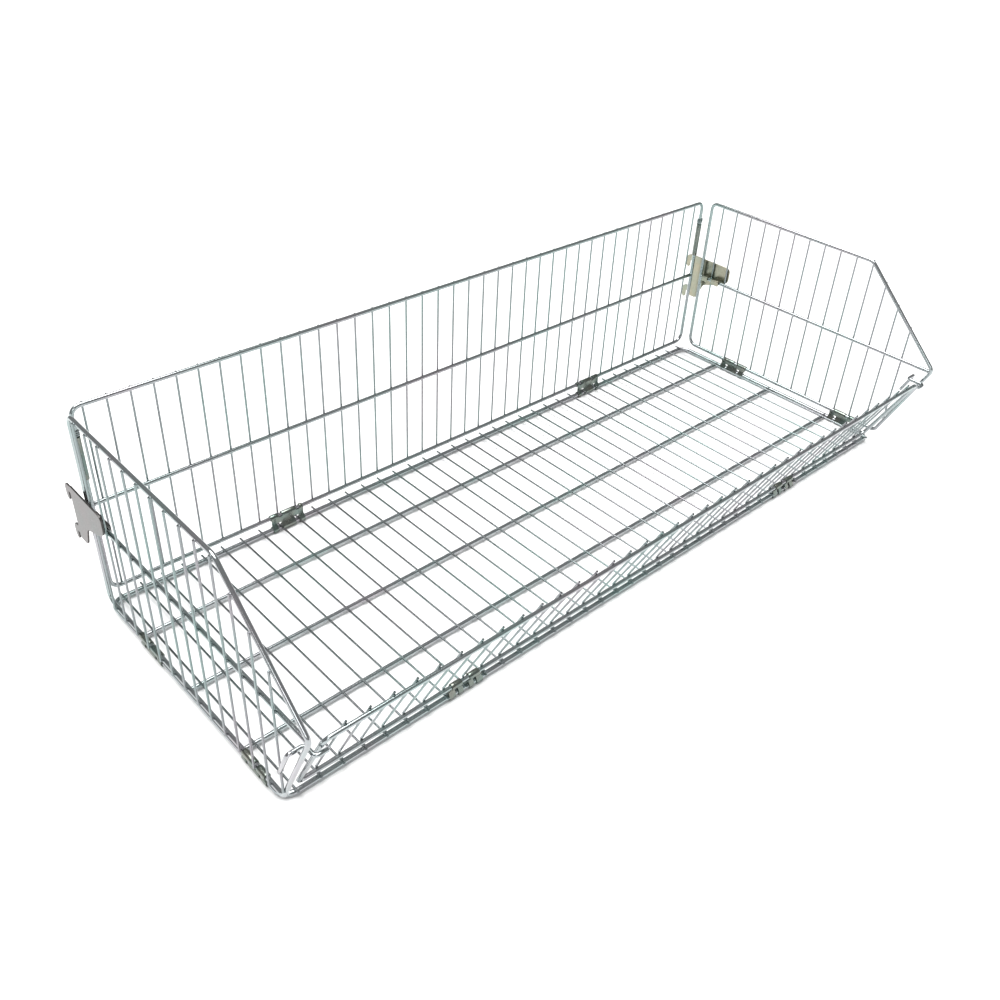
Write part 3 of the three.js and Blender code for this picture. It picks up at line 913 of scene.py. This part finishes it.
# ------------------------------------------------------------------ shelf brackets
class BASKET_OT_shelf_brackets(bpy.types.Operator):
    """Build the stamped brackets that hang the basket in the slots of a shelf upright"""

    bl_idname = "basket.shelf_brackets"
    bl_label = "Shelf brackets"

    def execute(self, context):
        s, p = sizes(), places()
        low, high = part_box("shelf_bracket_right")
        rear = high.y - TOOTH_DEPTH
        front = low.y
        top = high.z
        z = p["base_z"]
        inner = high.x - BRACKET_SHEET

        def tooth(h):
            throat = ((0, 0), (4.5, 0), (4.5, -8), (6, -11), (9, -11))
            nose = ((11.5, -7), (12, 2), (10, 7), (6, 9), (0, 9))
            return [(rear + a / 1000, h + b / 1000) for a, b in throat + nose]

        outline = [
            (front, z + 0.134),
            (front + 0.0012, z + 0.130),
            (front + 0.004, z + 0.1275),
            (front + 0.014, z + 0.121),
            (rear - 0.030, z + 0.1125),
            (rear - 0.0265, z + 0.1105),
            (rear - 0.0245, z + 0.107),
            (rear - 0.019, z + 0.092),
            (rear - 0.017, z + 0.088),
            (rear - 0.013, z + 0.086),
            (rear - 0.003, z + 0.086),
            (rear, z + 0.088),
            *tooth(z + 0.092),
            *tooth(z + 0.142),
            (rear - 0.003, top),
            (front + 0.006, top),
            (front + 0.002, top - 0.0015),
            (front, top - 0.005),
        ]
        for tag, mirrored in (("right", False), ("left", True)):
            bm = bmesh.new()
            face = self.sheet_outline(bm, inner, outline)
            pushed = bmesh.ops.extrude_face_region(bm, geom=[face])["geom"]
            bmesh.ops.translate(bm, verts=new_verts(pushed), vec=(BRACKET_SHEET, 0, 0))
            rail_top = z + MID_HEIGHT + s.panel_radius + 0.0003
            inside = p["side_x"] - s.panel_radius - 0.001
            for a, b in ((0.124, 0.138), (0.145, 0.155)):
                span = (p["mid_y"] + a, p["mid_y"] + b)
                self.block(bm, (inside - 0.0012, inner + 0.0003), span, (rail_top, rail_top + 0.0016))
                self.block(bm, (inside - 0.0012, inside), span, (z + MID_HEIGHT - 0.004, rail_top + 0.0002))
            name, body, node = f"bracket_{tag}", f"side_{tag}", f"shelf_bracket_{tag}"
            piece = finish_mesh(bm, name, body, plate_zinc(tag), [node], mirrored)
            round_off = piece.modifiers.new("Stamped edge", "BEVEL")
            round_off.width = 0.0004
            round_off.segments = 2
            round_off.limit_method = "ANGLE"
            round_off.angle_limit = radians(30)
        return {"FINISHED"}

    def sheet_outline(self, bm, x, outline):
        """Closed outline in the plane at x, drawn point by point and filled."""
        made = bmesh.ops.create_vert(bm, co=(x, *outline[0]))["vert"]
        at = outline[0]
        for y, h in outline[1:]:
            made = bmesh.ops.extrude_vert_indiv(bm, verts=made)["verts"]
            bmesh.ops.translate(bm, verts=made, vec=(0, y - at[0], h - at[1]))
            at = (y, h)
        ends = [vert for vert in bm.verts if len(vert.link_edges) == 1]
        bmesh.ops.contextual_create(bm, geom=ends)
        return bmesh.ops.contextual_create(bm, geom=bm.edges[:])["faces"][0]

    def block(self, bm, xs, ys, zs):
        size = Vector((xs[1] - xs[0], ys[1] - ys[0], zs[1] - zs[0]))
        middle = Vector((sum(xs), sum(ys), sum(zs))) / 2
        place = Matrix.Translation(middle) @ Matrix.Diagonal((*size, 1))
        bmesh.ops.create_cube(bm, size=1.0, matrix=place)


# ------------------------------------------------------------------ lip stops
class BASKET_OT_lip_stops(bpy.types.Operator):
    """Build the bent wires on the side panels that stop the lip"""

    bl_idname = "basket.lip_stops"
    bl_label = "Lip stops"

    def execute(self, context):
        s, p = sizes(), places()
        r = s.stop_radius
        rise = (p["base_z"] + FRONT_HEIGHT - p["side_z"]) / (FRONT_REACH - TOE_BACK)
        nose = p["mid_y"] - p["base_y"] - FRONT_REACH - 0.0001

        def leg(z, back):
            return nose + (p["base_z"] + FRONT_HEIGHT - z) / rise + back

        for tag, mirrored in (("right", False), ("left", True)):
            low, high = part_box(f"lip_stop_{tag}")
            out = max(high.x, -low.x) - r * FLAT
            end = min(abs(low.x), abs(high.x))
            foot, back = LIP_STOPS[tag]
            foot += p["base_z"]
            head = high.z - r * FLAT
            front = low.y + r * FLAT
            corners = [
                Vector((out, leg(foot, back), foot)),
                Vector((out, leg(head, back), head)),
                Vector((STOP_INSIDE, leg(head, back), head)),
                Vector((STOP_INSIDE, front, head)),
                Vector((end, front, head)),
            ]
            bm = bmesh.new()
            bent_wire(bm, corners, [STOP_BEND] * 3, r, 16)
            welds_at = corners[0].lerp(corners[1], 0.12) - X * r * 0.8
            welds(bm, [welds_at], Y, Z, X, (0.002, 0.003, 0.0012))
            name, body, node = f"lip_stop_wire_{tag}", f"side_{tag}", f"lip_stop_{tag}"
            finish_mesh(bm, name, body, wire_zinc(), [node], mirrored)
        return {"FINISHED"}


# ------------------------------------------------------------------ studio
class BASKET_OT_studio(bpy.types.Operator):
    """Set up the pale floor, the soft lights and the camera"""

    bl_idname = "basket.studio"
    bl_label = "Studio"

    def execute(self, context):
        bm = bmesh.new()
        bmesh.ops.create_grid(bm, x_segments=1, y_segments=1, size=12.0)
        mesh = bpy.data.meshes.new("studio_floor")
        bm.to_mesh(mesh)
        bm.free()
        paper = bpy.data.materials.new("Studio paper")
        paper.use_nodes = True
        shader = paper.node_tree.nodes["Principled BSDF"]
        shader.inputs["Base Color"].default_value = (0.9, 0.9, 0.9, 1)
        shader.inputs["Roughness"].default_value = 0.9
        shader.inputs["Specular IOR Level"].default_value = 0.1
        mesh.materials.append(paper)
        floor = bpy.data.objects.new("studio_floor", mesh)
        context.scene.collection.objects.link(floor)

        world = bpy.data.worlds.new("Studio air")
        context.scene.world = world
        world.use_nodes = True
        world.node_tree.nodes["Background"].inputs["Color"].default_value = (1, 1, 1, 1)
        world.node_tree.nodes["Background"].inputs["Strength"].default_value = 0.4

        sky = bpy.data.lights.new("soft_sky", "SUN")
        sky.energy = 4.6
        sky.angle = radians(50)
        lamp = bpy.data.objects.new("soft_sky", sky)
        context.scene.collection.objects.link(lamp)
        lamp.rotation_euler = (radians(-8), radians(-6), 0)
        self.soft_light(context, "front_left", (-2.2, -2.2, 1.6), (1.2, 0.9), 14)

        data = bpy.data.cameras.new("camera")
        data.sensor_width = 36
        data.lens = 36.683
        camera = bpy.data.objects.new("camera", data)
        context.scene.collection.objects.link(camera)
        camera.location = (-0.76155, -0.68835, 0.76111)
        camera.rotation_euler = Euler((radians(54.109), radians(-2.611), radians(-42.413)), "XYZ")
        context.scene.camera = camera
        context.scene.view_settings.view_transform = "Standard"
        return {"FINISHED"}

    def soft_light(self, context, name, at, size, power):
        data = bpy.data.lights.new(name, "AREA")
        data.shape = "RECTANGLE"
        data.size, data.size_y = size
        data.energy = power
        lamp = bpy.data.objects.new(name, data)
        context.scene.collection.objects.link(lamp)
        lamp.location = at
        lamp.rotation_euler = (Vector((0, 0, 0.1)) - Vector(at)).to_track_quat("-Z", "Y").to_euler()


class BASKET_PT_builder(bpy.types.Panel):
    """Lists the steps that build the basket"""

    bl_idname = "BASKET_PT_builder"
    bl_label = "Wire Basket"
    bl_space_type = "VIEW_3D"
    bl_region_type = "UI"
    bl_category = "Wire Basket"

    def draw(self, context):
        layout = self.layout
        for settings in (context.scene.basket_sizes, context.scene.basket_colours):
            for name in settings.__annotations__:
                layout.prop(settings, name)
        for step in STEPS:
            layout.operator(step.bl_idname)


STEPS = (
    BASKET_OT_base_tray,
    BASKET_OT_back_panel,
    BASKET_OT_side_panels,
    BASKET_OT_front_lip,
    BASKET_OT_hinge_clips,
    BASKET_OT_corner_catches,
    BASKET_OT_shelf_brackets,
    BASKET_OT_lip_stops,
    BASKET_OT_studio,
)
CLASSES = (BasketSizes, BasketColours, *STEPS, BASKET_PT_builder)


def register():
    for cls in CLASSES:
        bpy.utils.register_class(cls)
    bpy.types.Scene.basket_sizes = bpy.props.PointerProperty(type=BasketSizes)
    bpy.types.Scene.basket_colours = bpy.props.PointerProperty(type=BasketColours)


def unregister():
    del bpy.types.Scene.basket_colours
    del bpy.types.Scene.basket_sizes
    for cls in reversed(CLASSES):
        bpy.utils.unregister_class(cls)


def main():
    register()
    for step in STEPS:
        area, name = step.bl_idname.split(".")
        getattr(getattr(bpy.ops, area), name)()


if __name__ == "__main__":
    main()
